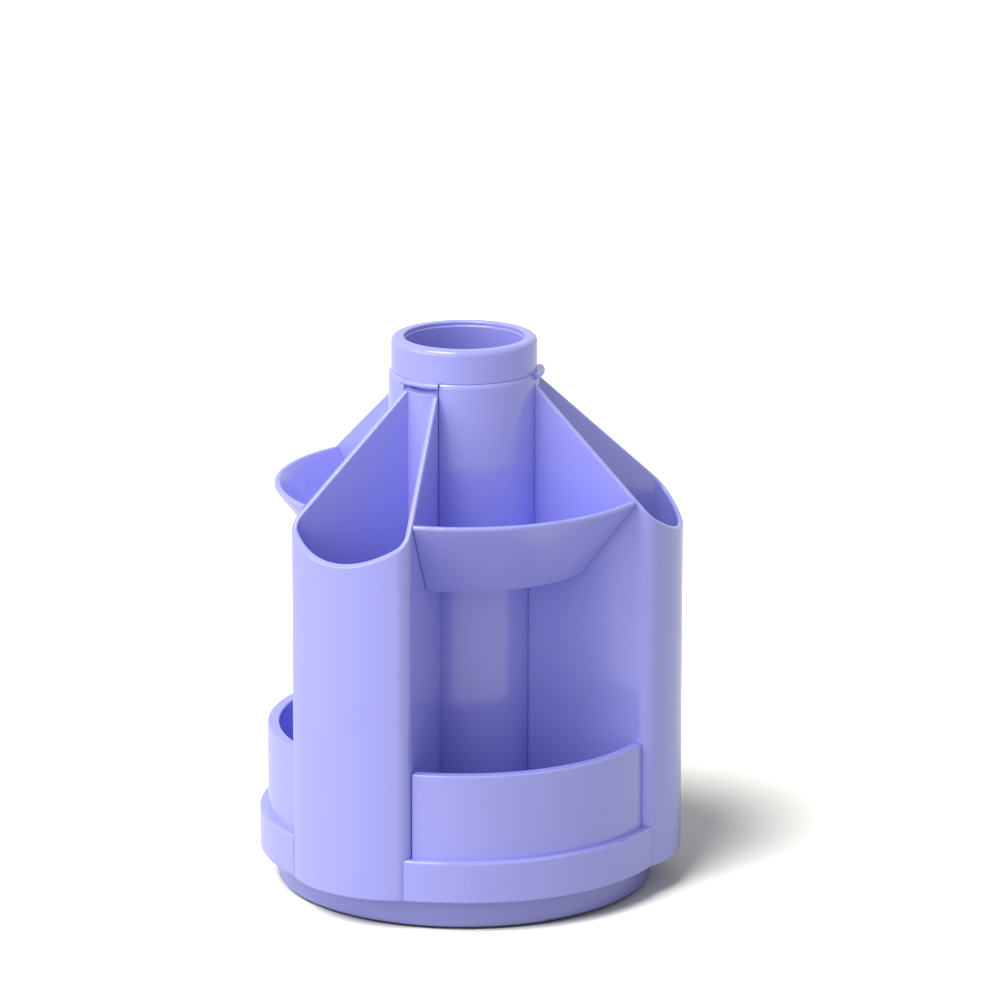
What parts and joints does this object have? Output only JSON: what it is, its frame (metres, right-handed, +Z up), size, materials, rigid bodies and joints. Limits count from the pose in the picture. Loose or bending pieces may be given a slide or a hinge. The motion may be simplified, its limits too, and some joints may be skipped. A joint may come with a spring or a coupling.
{
  "type": "rotating storage caddy",
  "caption": "Round rotating storage caddy with tall slant-mouthed pockets, open lower bins, sloped upper trays, a collared centre tube and a turntable foot.",
  "frame": {"origin": "on the turning axis, at the plane that the caddy stands on", "axes": "+Z up along the turning axis; the front bay faces -Y, +X is to the right seen from the front"},
  "size_m": [0.0988, 0.1018, 0.1335],
  "materials": {
    "lilac_plastic": "moulded lilac plastic, semi-gloss",
    "grip_rubber": "matt dark grey rubber",
    "glide_plastic": "natural low-friction plastic",
    "steel": "zinc-plated steel"
  },
  "bodies": {
    "base": {"base_foot": "lilac_plastic", "grip_ring": "grip_rubber", "glide_ring": "glide_plastic", "retaining_washer": "steel", "pivot_screw": "steel"},
    "turntable": {"bin_tray": "lilac_plastic", "centre_tube": "lilac_plastic", "tube_floor": "lilac_plastic", "tall_pocket_back": "lilac_plastic", "tall_pocket_left": "lilac_plastic", "tall_pocket_right": "lilac_plastic"},
    "upper_insert": {"collar": "lilac_plastic", "upper_tray_front": "lilac_plastic", "upper_tray_right": "lilac_plastic", "upper_tray_left": "lilac_plastic"}
  },
  "joints": [
    {"name": "turntable_spin", "type": "hinge", "parent": "base", "child": "turntable", "pos_m": [0, 0, 0], "axis": [0, 0, 1], "continuous": true},
    {"name": "insert_lift", "type": "slide", "parent": "turntable", "child": "upper_insert", "axis": [0, 0, 1], "range_m": [0, 0.06]}
  ]
}
